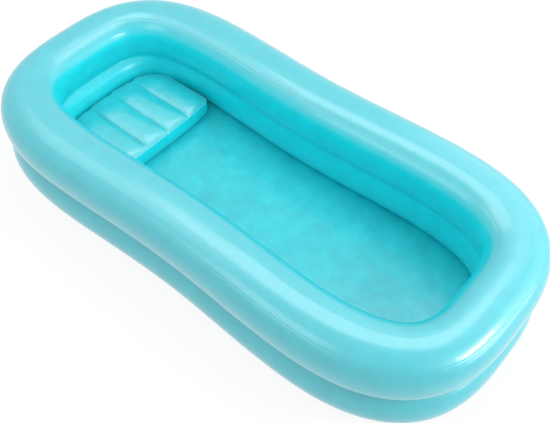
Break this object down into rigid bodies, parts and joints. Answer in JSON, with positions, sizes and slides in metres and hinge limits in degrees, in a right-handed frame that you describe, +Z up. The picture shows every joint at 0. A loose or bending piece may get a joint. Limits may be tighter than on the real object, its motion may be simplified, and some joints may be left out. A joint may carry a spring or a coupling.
{
  "type": "inflatable bathtub",
  "caption": "Turquoise PVC inflatable bathtub with stacked upper and lower air chambers, a welded floor, a ribbed head pillow, capped air valves and a drain plug.",
  "frame": {"origin": "on the ground under the middle of the tub's bounding box", "axes": "+X runs along the tub towards the foot end, with the pillow at -X, +Y runs across the tub towards the side with the two chamber valves, +Z is up"},
  "size_m": [1.665, 0.8298, 0.275],
  "materials": {
    "pvc_film": "satin gloss welded PVC film",
    "pvc_web": "satin PVC film inside the air chambers",
    "moulded_pvc": "soft moulded PVC, satin",
    "flap_pvc": "soft translucent PVC, matt"
  },
  "bodies": {
    "tub": {"floor_sheet": "pvc_film", "base_sheet": "pvc_film", "outer_wall_sheet": "pvc_film", "inner_wall_sheet": "pvc_film", "top_sheet": "pvc_film", "divider_web": "pvc_web", "pillow_top_sheet": "pvc_film", "pillow_side_band": "pvc_film", "pillow_base_sheet": "pvc_film", "pillow_web_1": "pvc_web", "pillow_web_2": "pvc_web", "pillow_web_3": "pvc_web", "upper_valve_seat": "moulded_pvc", "lower_valve_seat": "moulded_pvc", "pillow_valve_seat": "moulded_pvc", "drain_seat": "moulded_pvc"},
    "upper_cap": {"upper_valve_cap": "moulded_pvc"},
    "lower_cap": {"lower_valve_cap": "moulded_pvc"},
    "pillow_cap": {"pillow_valve_cap": "moulded_pvc"},
    "plug": {"drain_plug": "moulded_pvc"},
    "upper_flap": {"upper_valve_flap": "flap_pvc"},
    "lower_flap": {"lower_valve_flap": "flap_pvc"},
    "pillow_flap": {"pillow_valve_flap": "flap_pvc"}
  },
  "joints": [
    {"name": "upper_cap_hinge", "type": "hinge", "parent": "tub", "child": "upper_cap", "pos_m": [0.42968, 0.41775, 0.197], "axis": [0, 0, -1], "range_deg": [0, 150]},
    {"name": "lower_cap_hinge", "type": "hinge", "parent": "tub", "child": "lower_cap", "pos_m": [0.42968, 0.40975, 0.066], "axis": [0, 0, -1], "range_deg": [0, 150]},
    {"name": "pillow_cap_hinge", "type": "hinge", "parent": "tub", "child": "pillow_cap", "pos_m": [-0.42082, -0.162, 0.09624], "axis": [0, 1, 0], "range_deg": [0, 150]},
    {"name": "drain_plug_hinge", "type": "hinge", "parent": "tub", "child": "plug", "pos_m": [0.314, -0.165, 0.0232], "axis": [0, 1, 0], "range_deg": [0, 150]},
    {"name": "upper_flap_hinge", "type": "hinge", "parent": "tub", "child": "upper_flap", "pos_m": [0.42268, 0.40305, 0.197], "axis": [0, 0, 1], "range_deg": [0, 60], "stiffness_Nm_per_rad": 0.0005},
    {"name": "lower_flap_hinge", "type": "hinge", "parent": "tub", "child": "lower_flap", "pos_m": [0.42268, 0.39505, 0.066], "axis": [0, 0, 1], "range_deg": [0, 60], "stiffness_Nm_per_rad": 0.0005},
    {"name": "pillow_flap_hinge", "type": "hinge", "parent": "tub", "child": "pillow_flap", "pos_m": [-0.42782, -0.162, 0.08154], "axis": [0, -1, 0], "range_deg": [0, 60], "stiffness_Nm_per_rad": 0.0005}
  ]
}
